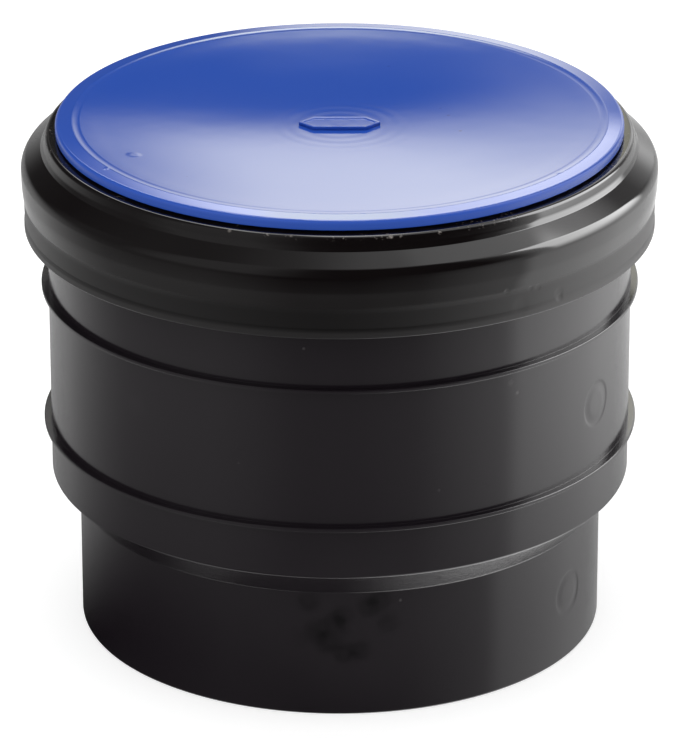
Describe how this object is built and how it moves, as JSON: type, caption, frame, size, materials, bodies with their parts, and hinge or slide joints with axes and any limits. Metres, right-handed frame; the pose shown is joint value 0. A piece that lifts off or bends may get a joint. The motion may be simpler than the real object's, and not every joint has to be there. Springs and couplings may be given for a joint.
{
  "type": "pipe push-fit socket with protective end cap",
  "caption": "Black push-fit pipe socket with a plain spigot, two anchor ribs, a snapped-on seal collar and a blue push-in cap.",
  "frame": {"origin": "centre of the spigot's cut end, which is the face that it stands on", "axes": "+Z along the pipe axis, from the spigot towards the socket mouth and its cap; -Y is the side that faces the camera in the picture"},
  "size_m": [0.1334, 0.1334, 0.1116],
  "materials": {
    "body": "satin black polyethylene with fine mould texture",
    "collar": "glossy brownish black polyethylene",
    "seal": "matt black rubber",
    "cap": "semi-gloss blue polyethylene"
  },
  "bodies": {
    "socket": {"socket_body": "body", "retaining_collar": "collar", "lip_seal": "seal"},
    "cap": {"end_cap": "cap"}
  },
  "joints": [
    {"name": "cap_pull", "type": "slide", "parent": "socket", "child": "cap", "axis": [0, 0, 1], "range_m": [0, 0.15]}
  ]
}
